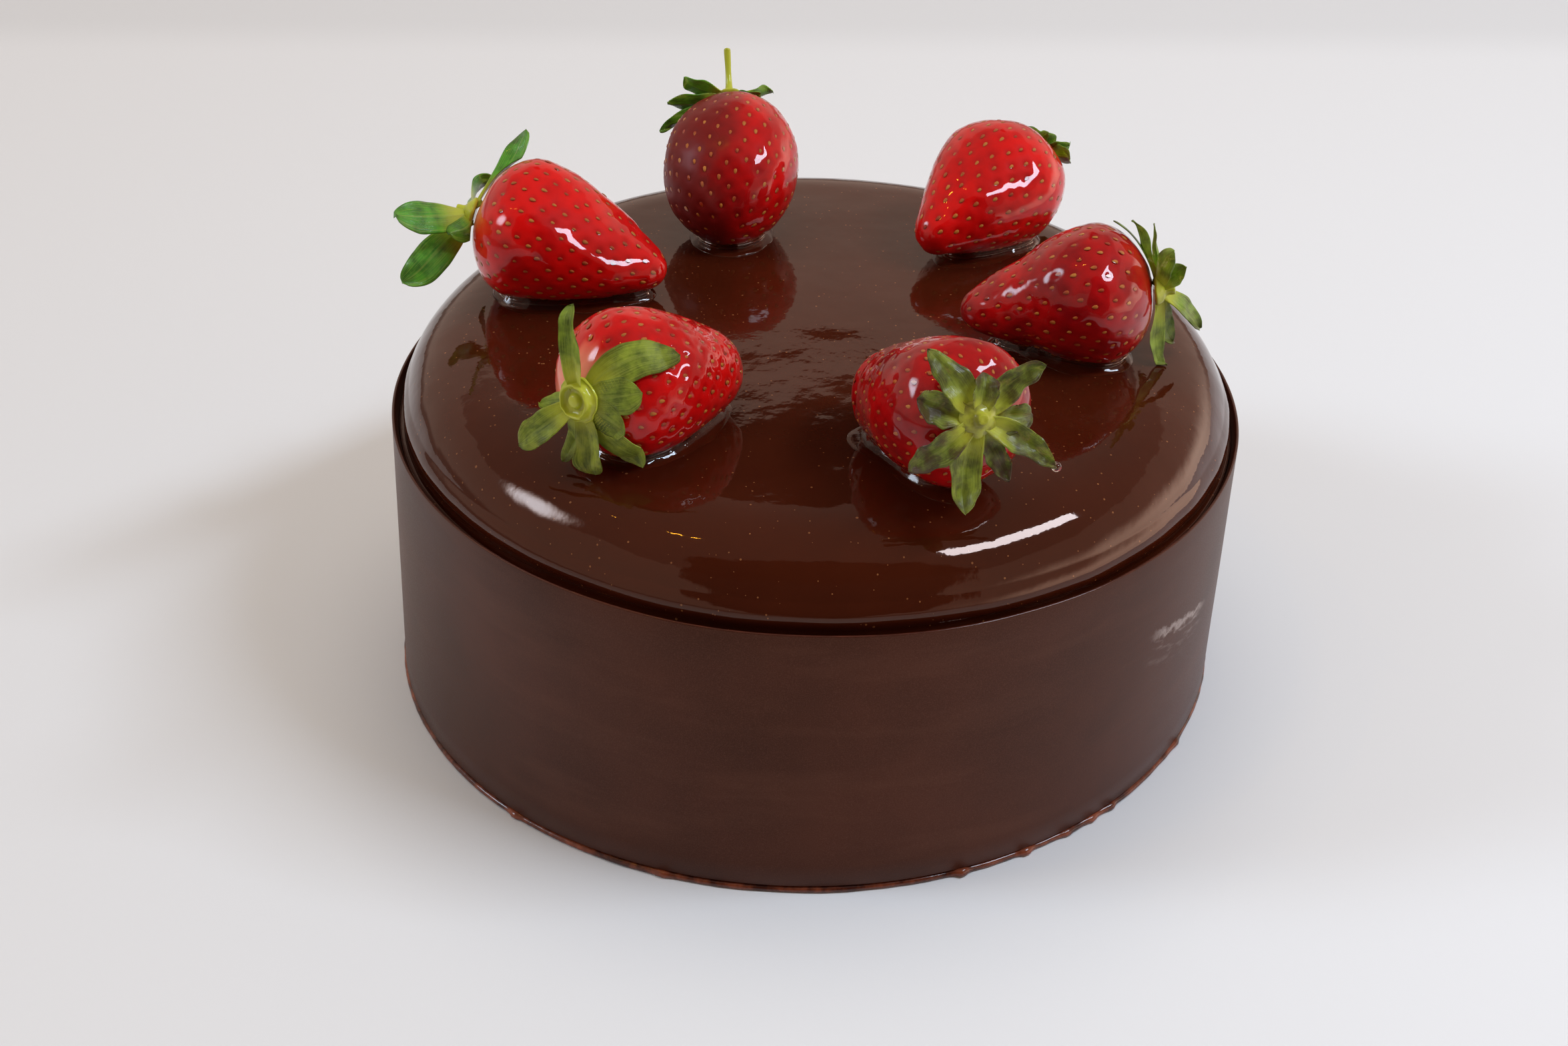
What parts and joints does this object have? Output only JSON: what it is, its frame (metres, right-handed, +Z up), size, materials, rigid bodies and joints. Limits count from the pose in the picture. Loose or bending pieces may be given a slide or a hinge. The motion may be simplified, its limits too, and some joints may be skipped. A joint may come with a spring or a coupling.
{
  "type": "strawberry chocolate cake",
  "caption": "Round dark chocolate cake under a mirror glaze, wrapped in a thin chocolate band, with whole strawberries lying in a ring on its domed top.",
  "frame": {"origin": "centre of the flat base, on the surface that the cake stands on", "axes": "+Z up; -Y towards the front, as the picture shows it; +X to the right as seen from the front"},
  "size_m": [0.1824, 0.1806, 0.1143],
  "materials": {
    "glaze": "mirror chocolate glaze",
    "band": "satin tempered chocolate",
    "fruit": "ripe strawberry under clear nappage",
    "leaf": "fresh green leaf"
  },
  "bodies": {
    "root": {"glazed_cake": "glaze", "chocolate_band": "band", "strawberry_1": "fruit", "strawberry_2": "fruit", "strawberry_3": "fruit", "strawberry_4": "fruit", "strawberry_5": "fruit", "strawberry_6": "fruit", "calyx_1": "leaf", "calyx_2": "leaf", "calyx_3": "leaf", "calyx_4": "leaf", "calyx_5": "leaf", "calyx_6": "leaf"}
  },
  "joints": []
}
